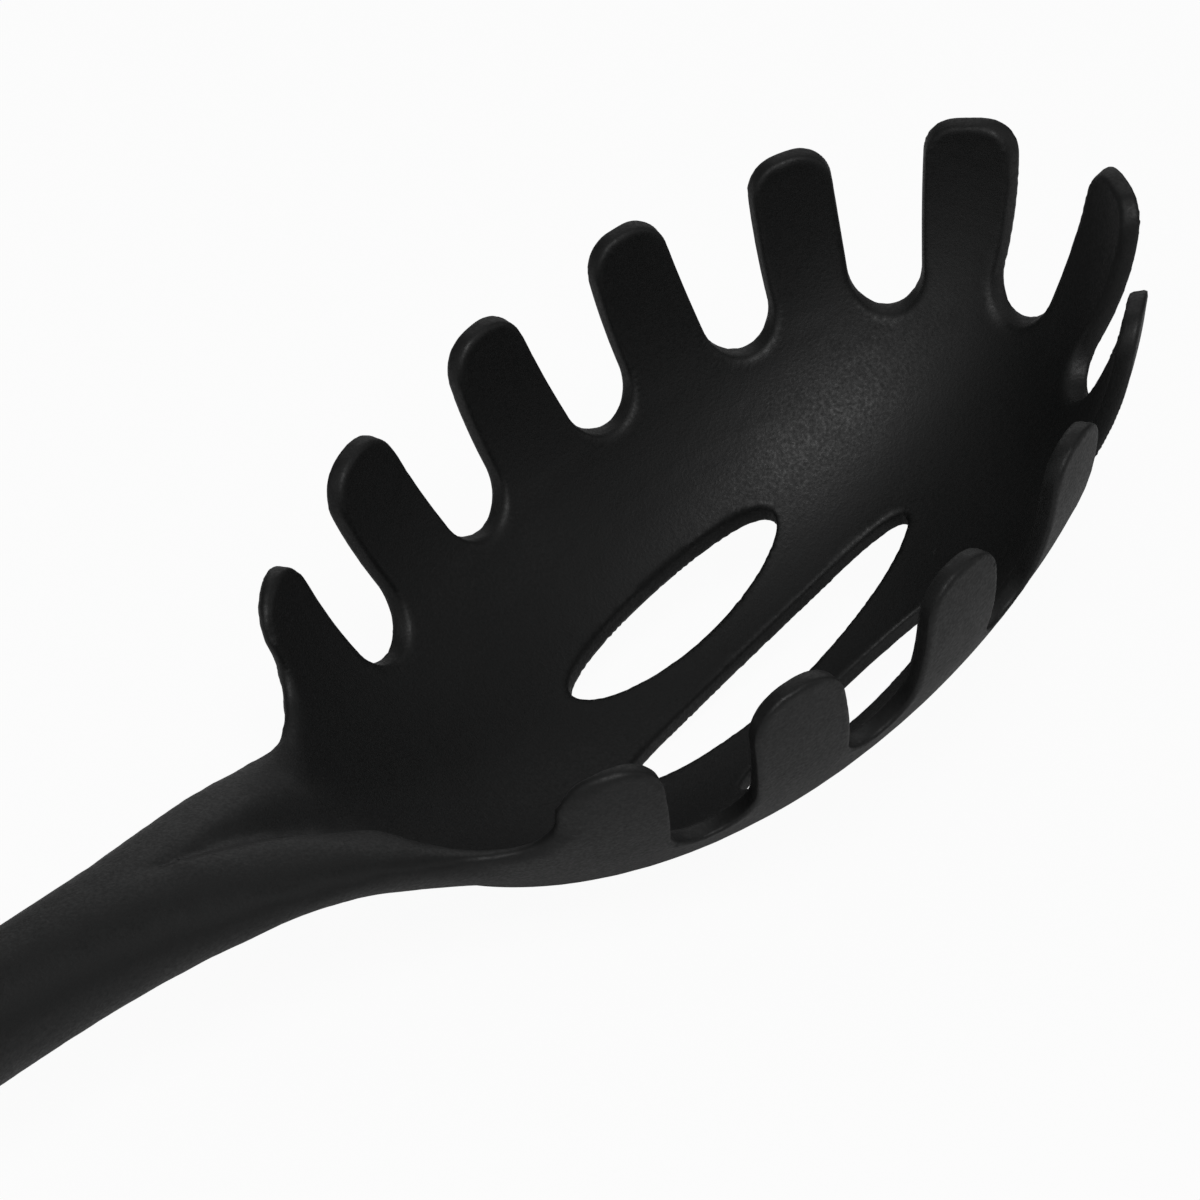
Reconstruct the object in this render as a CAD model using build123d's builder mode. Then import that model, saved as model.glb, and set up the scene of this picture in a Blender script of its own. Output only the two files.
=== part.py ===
from build123d import *
from math import acos, atan2, cos, degrees, radians, sin, sqrt
import os

# Pasta server: a moulded nylon head whose neck runs into a tang, a soft grip
# pushed over the tang, and a cap that holds the grip and carries the hanging hole.
# It is drawn upright about the bowl's own axis, +X towards the tip of the bowl
# and -X along the handle, and then laid down as it rests on a table.

# Bowl
wall = 2.1
floor_radius = 30.0          # inside, across the bowl
side_radius = 46.4           # inside, where the side steepens towards the brim
floor_arc = 50.3             # degrees of the floor radius, from the bottom
bowl_half_length = 59.5      # inside, at the brim

# Teeth and the gaps between them, at angles round the bowl from its tip.
# Each fall is how much less a size is at the bowl's tip than at its middle.
gap_angles = (0, 31.2, 56.6, 79.5, 102.3, 126)
tooth_angles = (18.1, 46.3, 69.6, 90.8, 113, 136.2)
root_height = 22.0           # centre of a gap's round bottom, above the inside floor
root_fall = 1.9
gap_radius = 4.75
gap_radius_fall = 0.4
tooth_height = 36.8          # top of a tooth, above the inside floor
tooth_fall = 2.2
tip_radius = 5.05            # half the width of a tooth's round end
tip_radius_fall = 0.55
tip_flat = 0.4               # half the flat at the very top of a tooth
gap_reach = 14.0             # how far a gap cut goes either side of the wall

# Drain slots
middle_slot_length = 48.4
middle_slot_width = 8.3
middle_slot_centre = 1.5
side_slot_length = 34.4
side_slot_width = 8.3
side_slot_spacing = 12.9

# Shoulder behind the rearmost teeth
shoulder_flank = 47.3        # back face of the rearmost tooth, behind the bowl's axis
shoulder_radius = 3.2
shoulder_height = 29.4       # low point of the rim, above the inside floor
rim_radius = 7.0             # where the rim turns up towards the neck
rim_slope = 36.0             # degrees
rim_length = 20.0
rear_tip_radius = 4.0

# Neck, from the bowl to the grip
neck_reach = 130.0           # from the bowl's axis to the front of the grip
neck_rise = 50.8             # height of the grip's front above the inside floor
neck_end_width = 13.6
neck_end_depth = 14.4
handle_slope = 12.5          # degrees
neck_root_width = 38.0
neck_place_shares = (0.331, 0.380, 0.441, 0.509, 0.584, 0.672, 0.774, 0.88)
neck_height_shares = (0.395, 0.494, 0.605, 0.695, 0.761, 0.823, 0.883, 0.938)
neck_width_shares = (0.8, 0.84, 0.72, 0.6, 0.483, 0.386, 0.327, 0.337)
neck_crown_shares = (0.42, 0.428, 0.481, 0.537, 0.676, 0.776, 0.857, 0.925)
neck_keel_shares = (1.1, 1.05, 1, 0.75, 0.812, 0.9, 0.971, 0.99)

# Spoon groove, from the bowl back along the top of the neck
groove_length = 31.5
groove_width = 34.0
groove_depth = 12.2
groove_tip_reach = 81.5      # tip of the groove, behind the bowl's axis
groove_tip_height = 46.0
groove_end_height = 33.0
groove_place_shares = (0, 0.17, 0.36, 0.55, 0.74, 0.9, 1)
groove_height_shares = (0, 0.154, 0.354, 0.577, 0.838, 0.96, 1)
groove_width_shares = (0.06, 0.16, 0.32, 0.52, 0.73, 0.9, 1)
groove_depth_shares = (0.03, 0.14, 0.22, 0.385, 0.566, 0.82, 1)

# Tang, grip and cap, all along the handle's axis
tang_width = 8.0
tang_depth = 6.0
tang_corner = 1.5
grip_length = 104.0
grip_lip = 0.8               # how far the grip's front stands proud of the neck
grip_width = 25.0
grip_depth = 17.6
grip_clearance = 0.1
grip_place_shares = (0.16, 0.46, 0.72, 1)
grip_width_shares = (0.76, 0.96, 1, 0.9)
grip_depth_shares = (0.93, 1, 1, 0.92)
corner_share = 0.46          # corner radius of a handle section, of its depth
cap_length = 28.0
cap_tail_depth = 10.0
spigot_length = 9.0
spigot_clearance = 0.1
hanging_hole_radius = 4.5
hanging_hole_inset = 11.5    # hole centre to the tail of the cap
hanging_hole_edge = 0.8
overrun = 8.0                # how far cuts run past what they cut

# Bowl profile worked out from its radii
arc = radians(floor_arc)
bowl_half_width = floor_radius * sin(arc) + side_radius * (1 - sin(arc))
brim_height = floor_radius * (1 - cos(arc)) + side_radius * cos(arc)
inner_stretch = bowl_half_length / bowl_half_width
outer_stretch = (bowl_half_length + wall) / (bowl_half_width + wall)


def side_reach(height):
    """Half width of the bowl's inside at a height above its floor."""
    return bowl_half_width - side_radius + sqrt(side_radius**2 - (brim_height - height) ** 2)


def easing(size, fall, angle):
    """A size that grows from the bowl's tip to its back, at an angle round the bowl."""
    return size - fall * cos(radians(angle))


def wall_point(angle, height):
    """Place on the bowl's inside, at an angle round it from its tip."""
    reach = side_reach(height)
    return Vector(inner_stretch * reach * cos(radians(angle)), reach * sin(radians(angle)), height)


# The bowl's profile is drawn on its back half, where the neck joins it
back_plane = Plane(origin=(0, 0, 0), x_dir=(-1, 0, 0), z_dir=(0, 1, 0))

with BuildPart() as bowl_body:
    with BuildSketch(back_plane):
        with BuildLine():
            floor_line = JernArc((0, -wall), (1, 0), floor_radius + wall, floor_arc)
            side_line = JernArc(floor_line @ 1, floor_line % 1, side_radius + wall, 90 - floor_arc)
            Polyline(side_line @ 1, (0, brim_height), (0, -wall))
        make_face()
    revolve(axis=Axis.Z)
    scale(by=(outer_stretch, 1, 1))

with BuildPart() as bowl_hollow:
    with BuildSketch(back_plane):
        with BuildLine():
            floor_line = JernArc((0, 0), (1, 0), floor_radius, floor_arc)
            side_line = JernArc(floor_line @ 1, floor_line % 1, side_radius, 90 - floor_arc)
            Polyline(
                side_line @ 1,
                (bowl_half_width, brim_height + overrun),
                (0, brim_height + overrun),
                (0, 0),
            )
        make_face()
    revolve(axis=Axis.Z)
    scale(by=(inner_stretch, 1, 1))

handle_plane = Plane(
    origin=(-neck_reach, 0, neck_rise),
    x_dir=(0, -1, 0),
    z_dir=(-cos(radians(handle_slope)), 0, sin(radians(handle_slope))),
)

# Neck sections: ovals with a flatter crown and a rounder keel, upright but for the last
neck_half_depth = neck_end_depth / 2
neck_sections = []
for place, height, width, crown, keel in zip(
    neck_place_shares, neck_height_shares, neck_width_shares, neck_crown_shares, neck_keel_shares
):
    station = Plane(
        origin=(-neck_reach * place, 0, neck_rise * height), x_dir=(0, -1, 0), z_dir=(-1, 0, 0)
    )
    half_width = neck_root_width / 2 * width
    neck_sections.append((station, half_width, neck_half_depth * crown, neck_half_depth * keel))
neck_sections.append((handle_plane, neck_end_width / 2, neck_half_depth, neck_half_depth))

with BuildPart() as head_form:
    add(bowl_body.part)

    # The neck leaves the bowl in one sweep and runs on to the grip in another
    halfway = len(neck_sections) // 2
    for sweep in (neck_sections[: halfway + 1], neck_sections[halfway:]):
        for section, half_width, crown, keel in sweep:
            with BuildSketch(section):
                with BuildLine():
                    EllipticalCenterArc((0, 0), half_width, crown, 0, arc_size=180)
                    EllipticalCenterArc((0, 0), half_width, keel, 180, arc_size=180)
                make_face()
        loft()

    add(bowl_hollow.part, mode=Mode.SUBTRACT)

    # Spoon groove, a trough that narrows and dies away along the neck
    for place, height, width, depth in zip(
        groove_place_shares, groove_height_shares, groove_width_shares, groove_depth_shares
    ):
        groove_plane = Plane(
            origin=(
                groove_length * place - groove_tip_reach,
                0,
                groove_tip_height + (groove_end_height - groove_tip_height) * height,
            ),
            x_dir=(0, 1, 0),
            z_dir=(1, 0, 0),
        )
        # Bell-shaped, so that its lips run out level with the neck's top
        lip = groove_width / 2 * width
        with BuildSketch(groove_plane):
            with BuildLine():
                Spline((-lip, 0), (0, -groove_depth * depth), (lip, 0), tangents=((1, 0), (1, 0)))
                Polyline((lip, 0), (lip, groove_depth), (-lip, groove_depth), (-lip, 0))
            make_face()
    loft(mode=Mode.SUBTRACT)

    # Shoulder behind the rearmost teeth
    with BuildSketch(Plane.XZ):
        with BuildLine():
            tip_top = (rear_tip_radius - shoulder_flank, easing(tooth_height, tooth_fall, tooth_angles[-1]))
            tip_arc = JernArc(tip_top, (-1, 0), rear_tip_radius, 90)
            flank_foot = (-shoulder_flank, shoulder_height + shoulder_radius)
            flank = Line(tip_arc @ 1, flank_foot)
            foot_arc = JernArc(flank_foot, (0, -1), shoulder_radius, -90)
            rim_arc = JernArc(foot_arc @ 1, foot_arc % 1, rim_radius, -rim_slope)
            rim_line = PolarLine(rim_arc @ 1, rim_length, direction=rim_arc % 1)
            Polyline(
                rim_line @ 1,
                ((rim_line @ 1).X, brim_height + overrun),
                (tip_top[0] + 2 * tip_flat, brim_height + overrun),
                (tip_top[0] + 2 * tip_flat, tip_top[1]),
                tip_top,
            )
        make_face()
    extrude(amount=bowl_half_width + overrun, both=True, mode=Mode.SUBTRACT)

    # Gaps between the teeth, cut square to the brim. Each is a round bottom, two straight sides
    # that touch it and the round ends of the teeth beside it, and half of each of those ends.
    teeth = [-angle for angle in reversed(tooth_angles)] + list(tooth_angles)
    gaps = [-angle for angle in reversed(gap_angles[1:])] + list(gap_angles)
    for gap, *neighbours in zip(gaps, teeth, teeth[1:]):
        radius = easing(gap_radius, gap_radius_fall, gap)
        centre = wall_point(gap, easing(root_height, root_fall, gap))
        outward = Vector(cos(radians(gap)) / inner_stretch, sin(radians(gap)), 0).normalized()
        along = Vector(-outward.Y, outward.X, 0)
        with BuildSketch(Plane(origin=centre, x_dir=along, z_dir=outward)):
            with BuildLine():
                leans = []
                ends = []
                for tooth, hand in zip(neighbours, (-1, 1)):
                    end_radius = easing(tip_radius, tip_radius_fall, tooth) - tip_flat
                    top = easing(tooth_height, tooth_fall, tooth)
                    away = wall_point(tooth, top - end_radius) - centre
                    end_x, end_y = hand * away.dot(along) - tip_flat, away.Z
                    lean = atan2(end_y, end_x) - acos((radius + end_radius) / sqrt(end_x**2 + end_y**2))
                    Line(
                        (hand * radius * cos(lean), radius * sin(lean)),
                        (hand * (end_x - end_radius * cos(lean)), end_y - end_radius * sin(lean)),
                    )
                    turn = 90 + degrees(lean)
                    CenterArc((hand * end_x, end_y), end_radius, 90 + hand * turn, -hand * turn)
                    leans.append(degrees(lean))
                    ends.append((hand * end_x, hand * (end_x + end_radius), end_y + end_radius))
                CenterArc((0, 0), radius, 180 - leans[0], 180 + leans[0] + leans[1])
                Polyline(
                    (ends[0][0], ends[0][2]),
                    (ends[0][1], ends[0][2]),
                    (ends[0][1], brim_height),
                    (ends[1][1], brim_height),
                    (ends[1][1], ends[1][2]),
                    (ends[1][0], ends[1][2]),
                )
            make_face()
        extrude(amount=gap_reach, both=True, mode=Mode.SUBTRACT)

    # Drain slots
    with BuildSketch(Plane.XY.offset(-2 * wall)):
        with Locations((middle_slot_centre, 0)):
            Ellipse(middle_slot_length / 2, middle_slot_width / 2)
        with Locations((0, side_slot_spacing), (0, -side_slot_spacing)):
            Ellipse(side_slot_length / 2, side_slot_width / 2)
    extrude(amount=floor_radius / 2, mode=Mode.SUBTRACT)

    # Tang inside the grip, and the narrower spigot that the cap is pushed on
    with BuildSketch(handle_plane):
        RectangleRounded(tang_width, tang_depth, tang_corner)
    extrude(amount=grip_length)
    with BuildSketch(handle_plane.offset(grip_length)):
        RectangleRounded(tang_width - 2 * tang_corner, tang_depth - tang_corner, tang_corner)
    extrude(amount=spigot_length)

# Grip: soft sleeve with the tang's bore
grip_sections = [(0, neck_end_width + 2 * grip_lip, neck_end_depth + 2 * grip_lip)]
for place, width, depth in zip(grip_place_shares, grip_width_shares, grip_depth_shares):
    grip_sections.append((grip_length * place, grip_width * width, grip_depth * depth))

with BuildPart() as grip_form:
    for place, width, depth in grip_sections:
        with BuildSketch(handle_plane.offset(place)):
            RectangleRounded(width, depth, depth * corner_share)
    loft()
    with BuildSketch(handle_plane):
        RectangleRounded(
            tang_width + 2 * grip_clearance, tang_depth + 2 * grip_clearance, tang_corner + grip_clearance
        )
    extrude(amount=grip_length, mode=Mode.SUBTRACT)

# Cap: closes the grip, thins towards its round tail and has the hanging hole
cap_plane = handle_plane.offset(grip_length)
cap_side = Plane(origin=cap_plane.origin, x_dir=cap_plane.z_dir, z_dir=cap_plane.y_dir)
cap_width, cap_depth = grip_sections[-1][1:]
tail_start = cap_length - cap_width / 2

with BuildPart() as cap_form:
    with BuildSketch(cap_plane):
        RectangleRounded(cap_width, cap_depth, cap_depth * corner_share)
    with BuildSketch(cap_plane.offset(cap_length)):
        RectangleRounded(cap_width, cap_tail_depth, cap_tail_depth * corner_share)
    loft()
    with BuildSketch(cap_side):
        Rectangle(tail_start, 2 * cap_width, align=(Align.MIN, Align.CENTER))
        with Locations((tail_start, 0)):
            Circle(cap_width / 2)
    extrude(amount=cap_depth, both=True, mode=Mode.INTERSECT)
    with BuildSketch(cap_side):
        with Locations((cap_length - hanging_hole_inset, 0)):
            Circle(hanging_hole_radius)
    extrude(amount=cap_depth, both=True, mode=Mode.SUBTRACT)
    chamfer(
        cap_form.edges().sort_by_distance(cap_plane.offset(cap_length - hanging_hole_inset).origin)[:2],
        hanging_hole_edge,
    )
    with BuildSketch(cap_plane):
        RectangleRounded(
            tang_width - 2 * tang_corner + 2 * spigot_clearance,
            tang_depth - tang_corner + 2 * spigot_clearance,
            tang_corner + spigot_clearance,
        )
    extrude(amount=spigot_length + spigot_clearance, mode=Mode.SUBTRACT)

# Laid down, the server touches the table with the underside of its bowl and the lowest point
# of its handle. The tilt is that of the line through that point that touches the bowl.
handle_points = [cap_plane.offset(cap_length).origin - cap_plane.y_dir * cap_tail_depth / 2]
for place, width, depth in grip_sections:
    handle_points.append(handle_plane.offset(place).origin - handle_plane.y_dir * depth / 2)
keel_length = outer_stretch * (floor_radius + wall)
keel_depth = floor_radius + wall
tilts = []
for point in handle_points:
    point_x, point_z = point.X / keel_length, (point.Z - floor_radius) / keel_depth
    touch = atan2(point_z, point_x) + acos(1 / sqrt(point_x**2 + point_z**2))
    touch_x, touch_z = keel_length * cos(touch), floor_radius + keel_depth * sin(touch)
    tilts.append(degrees(atan2(point.Z - touch_z, touch_x - point.X)))
rest_tilt = min(tilts)
tilted = Location((0, 0, 0), (0, -rest_tilt, 0))
box = (tilted * Compound([head_form.part, grip_form.part, cap_form.part])).bounding_box()
rest_pose = Location((-box.center().X, 0, -box.min.Z)) * tilted

with BuildPart() as server_head:
    with Locations(rest_pose):
        add(head_form.part)

with BuildPart() as grip_sleeve:
    with Locations(rest_pose):
        add(grip_form.part)

with BuildPart() as end_cap:
    with Locations(rest_pose):
        add(cap_form.part)

os.makedirs("parts", exist_ok=True)
server_head.part.label = "server_head"
export_step(server_head.part, "parts/server_head.step")
grip_sleeve.part.label = "grip_sleeve"
export_step(grip_sleeve.part, "parts/grip_sleeve.step")
end_cap.part.label = "end_cap"
export_step(end_cap.part, "parts/end_cap.step")
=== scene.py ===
from math import radians

import bmesh
import bpy
import numpy as np
from mathutils import Euler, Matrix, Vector


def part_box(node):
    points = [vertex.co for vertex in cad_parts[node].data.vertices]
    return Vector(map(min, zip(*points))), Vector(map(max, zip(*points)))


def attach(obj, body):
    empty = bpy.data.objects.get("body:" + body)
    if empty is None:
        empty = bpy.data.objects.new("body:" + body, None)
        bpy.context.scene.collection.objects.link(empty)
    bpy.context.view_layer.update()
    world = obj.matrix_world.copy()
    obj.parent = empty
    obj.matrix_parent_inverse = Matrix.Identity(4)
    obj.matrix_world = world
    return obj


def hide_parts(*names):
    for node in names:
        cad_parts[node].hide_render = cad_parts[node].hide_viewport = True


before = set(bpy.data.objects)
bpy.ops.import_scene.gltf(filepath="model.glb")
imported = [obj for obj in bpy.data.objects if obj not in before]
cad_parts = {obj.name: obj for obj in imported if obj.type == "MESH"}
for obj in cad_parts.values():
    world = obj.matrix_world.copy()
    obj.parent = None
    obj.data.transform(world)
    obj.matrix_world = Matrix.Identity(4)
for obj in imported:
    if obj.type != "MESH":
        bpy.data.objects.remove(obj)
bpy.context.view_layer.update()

mm = 0.001
whole = bpy.context.scene.collection


def linearHex(code):
    # sRGB hex as typed, turned into the linear values that the sockets want
    out = []
    for i in (0, 2, 4):
        c = int(code[i:i + 2], 16) / 255
        out.append(c / 12.92 if c <= 0.04045 else ((c + 0.055) / 1.055) ** 2.4)
    return (*out, 1.0)


def addNode(tree, kind, settings=None, links=None):
    # settings are tried as sockets first, then as properties of the node
    node = tree.nodes.new(kind)
    for name, value in (settings or {}).items():
        if name in node.inputs:
            node.inputs[name].default_value = value
        else:
            setattr(node, name, value)
    for name, source in (links or {}).items():
        tree.links.new(source, node.inputs[name])
    return node


def newMaterial(name):
    mat = bpy.data.materials.new(name)
    mat.use_nodes = True
    mat.node_tree.nodes.clear()
    return mat, mat.node_tree


def dress(obj, mat):
    obj.data.materials.clear()
    obj.data.materials.append(mat)


# Nylon 66, injection moulded in a spark-eroded cavity: black, satin, with a fine even grain
# that breaks highlights up into soft blurs; the edges are painted lighter, as rubbed wear and a
# painted sheen.
nylon = {
    "colour": "0b0c0c",
    # lighter colour along the edges: rubbed wear and a painted sheen
    "edgeWearSheenColour": "161718",
    "roughness": (0.28, 0.36),
    "speck": 0.48,        # further roughness where the grain stands high
    "ior": 1.50,
    "grain": 0.4,         # mm across one pit
    "grainDepth": 0.035,  # mm
    "cloud": 14.0,        # mm across the patches where the gloss changes
    "edge": 0.3,          # mm of rounding; the edge band there is painted lighter, as wear and a painted sheen
}


def makeNylon():
    mat, tree = newMaterial("nylon_moulded_satin")
    where = addNode(tree, "ShaderNodeTexCoord").outputs["Object"]
    grain = addNode(tree, "ShaderNodeTexNoise",
                    {"Scale": 1 / (nylon["grain"] * mm), "Detail": 2.0, "Roughness": 0.6},
                    {"Vector": where})
    cloud = addNode(tree, "ShaderNodeTexNoise",
                    {"Scale": 1 / (nylon["cloud"] * mm), "Detail": 3.0}, {"Vector": where})
    gloss = addNode(tree, "ShaderNodeMapRange",
                    {"From Min": 0.3, "From Max": 0.7,
                     "To Min": nylon["roughness"][0], "To Max": nylon["roughness"][1]},
                    {"Value": cloud.outputs["Fac"]})
    speck = addNode(tree, "ShaderNodeMath", {"operation": "MULTIPLY_ADD"},
                    {"Value": grain.outputs["Fac"]})
    speck.inputs[1].default_value = nylon["speck"]
    tree.links.new(gloss.outputs["Result"], speck.inputs[2])

    # an edge shows where the rounded surface turns away from the real one; there the colour is
    # painted lighter, as wear and a painted sheen
    rounded = addNode(tree, "ShaderNodeBevel", {"Radius": nylon["edge"] * mm, "samples": 6})
    flat = addNode(tree, "ShaderNodeNewGeometry")
    turned = addNode(tree, "ShaderNodeVectorMath", {"operation": "DOT_PRODUCT"})
    tree.links.new(rounded.outputs["Normal"], turned.inputs[0])
    tree.links.new(flat.outputs["Normal"], turned.inputs[1])
    wornEdgeSheen = addNode(tree, "ShaderNodeMapRange", {"From Min": 0.99, "From Max": 0.8},
                   {"Value": turned.outputs["Value"]})
    # the edges take the lighter colour: a painted sheen as well as wear
    colour = addNode(tree, "ShaderNodeMix", {"data_type": "RGBA"})
    colour.inputs[6].default_value = linearHex(nylon["colour"])
    colour.inputs[7].default_value = linearHex(nylon["edgeWearSheenColour"])
    tree.links.new(wornEdgeSheen.outputs["Result"], colour.inputs[0])

    bump = addNode(tree, "ShaderNodeBump",
                   {"Strength": 1.0, "Distance": nylon["grainDepth"] * mm},
                   {"Height": grain.outputs["Fac"], "Normal": rounded.outputs["Normal"]})
    shader = addNode(tree, "ShaderNodeBsdfPrincipled", {"IOR": nylon["ior"]},
                     {"Base Color": colour.outputs[2], "Roughness": speck.outputs["Value"],
                      "Normal": bump.outputs["Normal"]})
    addNode(tree, "ShaderNodeOutputMaterial", {}, {"Surface": shader.outputs["BSDF"]})
    return mat


# Thermoplastic elastomer, moulded against a bead-blasted cavity: black, matt and a little dusty
softGrip = {
    "colour": "111213",
    "roughness": (0.62, 0.78),
    "ior": 1.50,
    "grain": 0.5,         # mm
    "grainDepth": 0.03,   # mm
    "cloud": 20.0,        # mm
}


def makeSoftGrip():
    mat, tree = newMaterial("elastomer_blasted_matt")
    where = addNode(tree, "ShaderNodeTexCoord").outputs["Object"]
    grain = addNode(tree, "ShaderNodeTexVoronoi", {"Scale": 1 / (softGrip["grain"] * mm)},
                    {"Vector": where})
    cloud = addNode(tree, "ShaderNodeTexNoise",
                    {"Scale": 1 / (softGrip["cloud"] * mm), "Detail": 4.0}, {"Vector": where})
    gloss = addNode(tree, "ShaderNodeMapRange",
                    {"From Min": 0.3, "From Max": 0.7,
                     "To Min": softGrip["roughness"][0], "To Max": softGrip["roughness"][1]},
                    {"Value": cloud.outputs["Fac"]})
    bump = addNode(tree, "ShaderNodeBump",
                   {"Strength": 0.5, "Distance": softGrip["grainDepth"] * mm},
                   {"Height": grain.outputs["Distance"]})
    shader = addNode(tree, "ShaderNodeBsdfPrincipled",
                     {"Base Color": linearHex(softGrip["colour"]), "IOR": softGrip["ior"]},
                     {"Roughness": gloss.outputs["Result"], "Normal": bump.outputs["Normal"]})
    addNode(tree, "ShaderNodeOutputMaterial", {}, {"Surface": shader.outputs["BSDF"]})
    return mat


# Moulded pieces: a mould has no sharp corners, so the CAD form is cut into small faces
# and relaxed. Each round of passes softens the edges by a fraction of a face.
moulding = {
    "weld": 0.1,               # mm
    "passes": (0.55, -0.57),   # shares of the way to the neighbours' middle, there and back
    "rounds": 3,
    "clear": 0.5,              # mm over which the relaxing sets in
}


def step(values, full, none):
    # smooth share from 1 at full to 0 at none, either way round
    share = np.clip((values - none) / (full - none), 0.0, 1.0)
    return share * share * (3.0 - 2.0 * share)


def relax(spots, ends, passes, share):
    # each spot moves towards the middle of its neighbours, or back where a pass is below zero
    count = np.bincount(ends.ravel(), minlength=len(spots))[:, None]
    for amount in passes:
        middle = np.empty_like(spots)
        for axis in range(3):
            values = spots[:, axis]
            middle[:, axis] = (
                np.bincount(ends[:, 0], values[ends[:, 1]], len(spots))
                + np.bincount(ends[:, 1], values[ends[:, 0]], len(spots))
            )
        spots = spots + amount * share[:, None] * (middle / count - spots)
    return spots


def finelyCut(name, longest, start):
    # the node's faces, cut until no edge in front of start is longer than asked, all in mm
    work = bmesh.new()
    work.from_mesh(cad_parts[name].data)
    bmesh.ops.remove_doubles(work, verts=work.verts, dist=moulding["weld"] * mm)
    bmesh.ops.dissolve_degenerate(work, dist=moulding["weld"] * mm, edges=work.edges)
    tooLong = work.edges
    while tooLong:
        bmesh.ops.triangulate(work, faces=[face for face in work.faces if len(face.verts) > 3])
        tooLong = [edge for edge in work.edges if edge.calc_length() > longest * mm
                   and max(end.co.x for end in edge.verts) > start * mm]
        bmesh.ops.subdivide_edges(work, edges=tooLong, cuts=1, use_single_edge=True)
    work.verts.index_update()
    spots = np.array([vert.co for vert in work.verts]) / mm
    ends = np.array([[vert.index for vert in edge.verts] for edge in work.edges])
    shown = step(spots[:, 0], start + moulding["clear"], start)
    return work, relax(spots, ends, moulding["passes"] * moulding["rounds"], shown), ends


def mouldedPiece(name, work, spots):
    spots[:, 2] = np.maximum(spots[:, 2], 0.0)
    for vert, spot in zip(work.verts, spots * mm):
        vert.co = spot
    mesh = bpy.data.meshes.new(name + "_moulded")
    work.to_mesh(mesh)
    work.free()
    mesh.shade_smooth()
    piece = bpy.data.objects.new(name + "_moulded", mesh)
    whole.objects.link(piece)
    piece.matrix_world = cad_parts[name].matrix_world.copy()
    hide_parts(name)
    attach(piece, "root")
    print(name, "faces", len(mesh.polygons))
    return piece


# Head: relaxed further where the neck grows out of the bowl and the spoon groove runs out.
# Each pair is where that is full and where it has faded, in mm along X or out from the middle.
head = {
    "face": 0.9,              # mm, longest edge of a face
    "rounds": 45,
    "passes": (0.6, -0.35),   # not all the way back, which evens out the creases
    "bowlEnd": (64.0, 80.0),
    "gripEnd": (22.0, 6.0),
    "across": (6.0, 11.0),
    "wholeWidth": (52.0, 64.0),
}


def blendShare(spots):
    # how strongly each spot is relaxed round the neck's root
    along, across = spots[:, 0], np.abs(spots[:, 1])
    middle = step(across, *head["across"])
    behind = step(along, *head["wholeWidth"])
    share = step(along, *head["bowlEnd"]) * step(along, *head["gripEnd"])
    return share * np.maximum(middle, behind)


def mouldHead():
    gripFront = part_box("grip_sleeve")[1][0] / mm
    work, spots, ends = finelyCut("server_head", head["face"], gripFront + moulding["clear"])
    spots = relax(spots, ends, head["passes"] * head["rounds"], blendShare(spots))
    return mouldedPiece("server_head", work, spots)


# Cap: the same nylon, with edges rounded more because it sits in the palm
cap = {
    "face": 1.0,   # mm
    "rounds": 5,
}


def mouldCap():
    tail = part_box("end_cap")[0][0] / mm
    work, spots, ends = finelyCut("end_cap", cap["face"], tail - 2 * moulding["clear"])
    spots = relax(spots, ends, moulding["passes"] * cap["rounds"], np.ones(len(spots)))
    return mouldedPiece("end_cap", work, spots)


print("pieces")
smoothHead = mouldHead()
smoothCap = mouldCap()

print("materials")
nylonSatin = makeNylon()
gripMatt = makeSoftGrip()
dress(smoothHead, nylonSatin)
dress(smoothCap, nylonSatin)
dress(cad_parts["grip_sleeve"], gripMatt)


# Sheet of white paper, which the camera sees as nearly plain white with a trace of shadow
studio = {
    "floor": 6.0,          # m across
    "paper": "f2f2f2",
    "paperGlow": 0.95,     # share of the floor that the camera sees as plain white
    "worldColour": "ffffff",
    "worldLevel": 0.09,
}


def makePaper():
    mat, tree = newMaterial("paper_backdrop")
    lit = addNode(tree, "ShaderNodeBsdfDiffuse", {"Color": linearHex(studio["paper"])})
    glow = addNode(tree, "ShaderNodeEmission", {"Color": linearHex("ffffff"), "Strength": 1.0})
    path = addNode(tree, "ShaderNodeLightPath")
    seen = addNode(tree, "ShaderNodeMath", {"operation": "MULTIPLY"})
    tree.links.new(path.outputs["Is Camera Ray"], seen.inputs[0])
    seen.inputs[1].default_value = studio["paperGlow"]
    both = addNode(tree, "ShaderNodeMixShader", {}, {"Fac": seen.outputs["Value"]})
    tree.links.new(lit.outputs["BSDF"], both.inputs[1])
    tree.links.new(glow.outputs["Emission"], both.inputs[2])
    addNode(tree, "ShaderNodeOutputMaterial", {}, {"Surface": both.outputs["Shader"]})
    return mat


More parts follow.
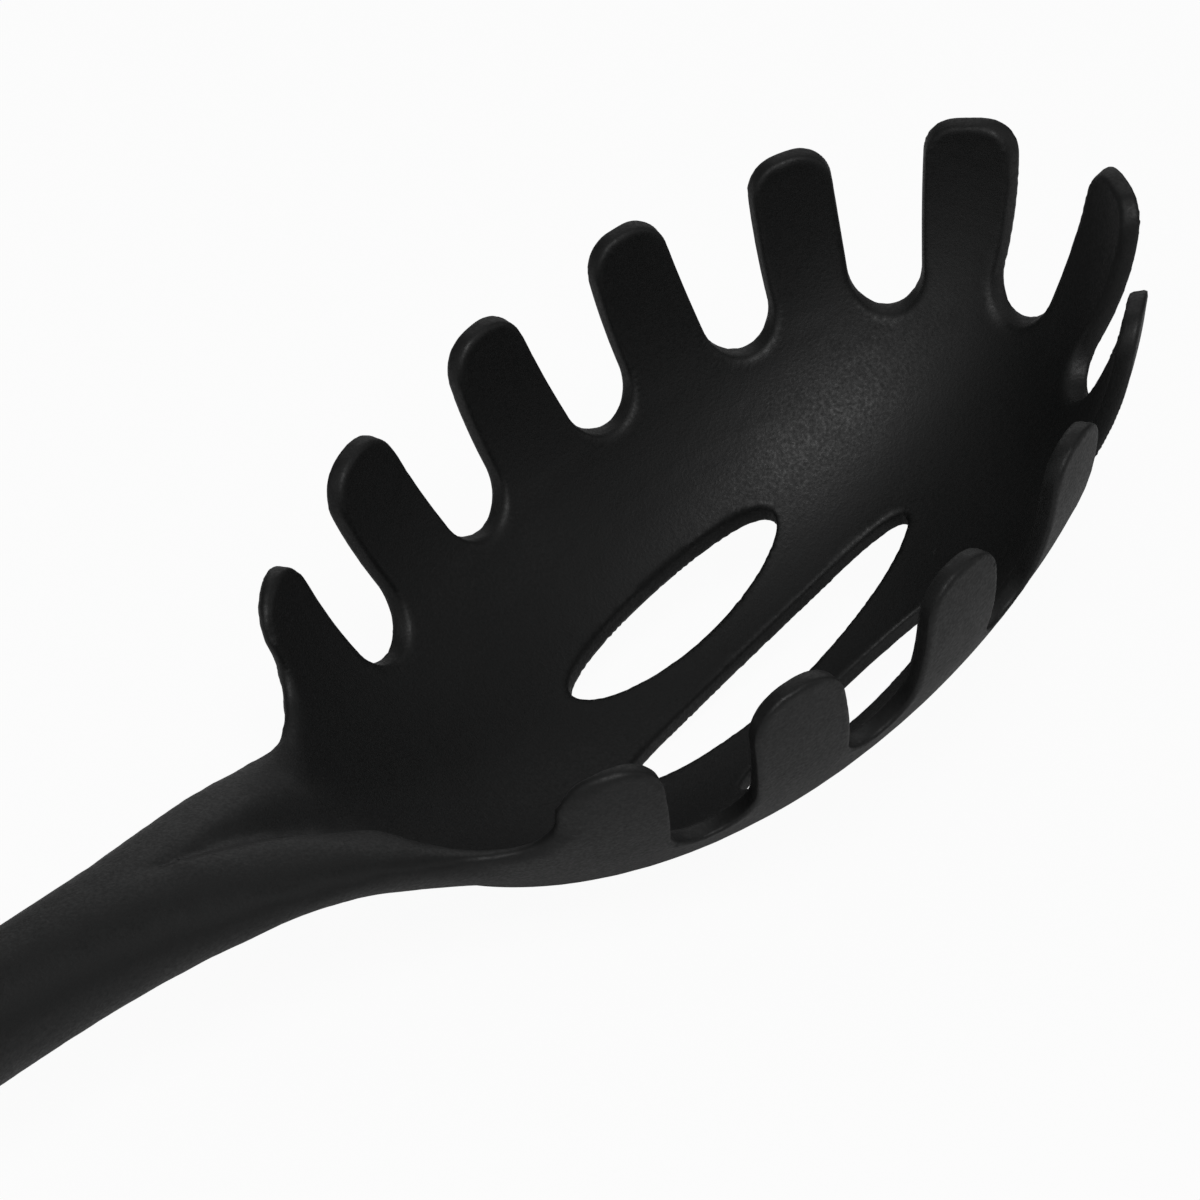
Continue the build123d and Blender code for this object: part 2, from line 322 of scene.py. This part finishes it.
print("floor")
half = studio["floor"] / 2
sheet = bpy.data.meshes.new("floor")
sheet.from_pydata([(-half, -half, 0), (half, -half, 0), (half, half, 0), (-half, half, 0)],
                  [], [(0, 1, 2, 3)])
floor = bpy.data.objects.new("floor", sheet)
whole.objects.link(floor)
dress(floor, makePaper())

print("lights")
world = bpy.data.worlds.new("studio_air")
bpy.context.scene.world = world
world.use_nodes = True
world.node_tree.nodes.clear()
air = addNode(world.node_tree, "ShaderNodeBackground",
              {"Color": linearHex(studio["worldColour"]), "Strength": studio["worldLevel"]})
addNode(world.node_tree, "ShaderNodeOutputWorld", {}, {"Surface": air.outputs["Background"]})

aim = Vector((112, 0, 20)) * mm
lamps = {
    "key": {"azimuth": -135, "elevation": 54, "distance": 1.3, "size": 0.45, "power": 6.0},
    "front": {"azimuth": -50, "elevation": 25, "distance": 1.6, "size": 0.8, "power": 1.7},
    "back": {"azimuth": 43, "elevation": 36, "distance": 1.6, "size": 1.6, "power": 4.0},
    "side": {"azimuth": 178, "elevation": 28, "distance": 1.6, "size": 1.0, "power": 1.5},
}
for name, lamp in lamps.items():
    data = bpy.data.lights.new(name, "AREA")
    data.size = lamp["size"]
    data.energy = lamp["power"]
    obj = bpy.data.objects.new(name, data)
    whole.objects.link(obj)
    away = Vector((1, 0, 0))
    away.rotate(Euler((0, -radians(lamp["elevation"]), radians(lamp["azimuth"]))))
    obj.location = aim + away * lamp["distance"]
    obj.rotation_euler = away.to_track_quat("Z", "Y").to_euler()

print("camera")
view = {
    "spot": (-169.17, -239.90, 250.38),   # mm
    "turn": (57.507, -0.878, -46.053),    # degrees
    "lens": 117.71,
    "sensor": 36.0,
}
cam = bpy.data.objects.new("camera", bpy.data.cameras.new("camera"))
whole.objects.link(cam)
cam.location = Vector(view["spot"]) * mm
cam.rotation_euler = [radians(a) for a in view["turn"]]
cam.data.lens = view["lens"]
cam.data.sensor_width = view["sensor"]
cam.data.clip_start = 0.01
bpy.context.scene.camera = cam
bpy.context.scene.view_settings.view_transform = "Standard"
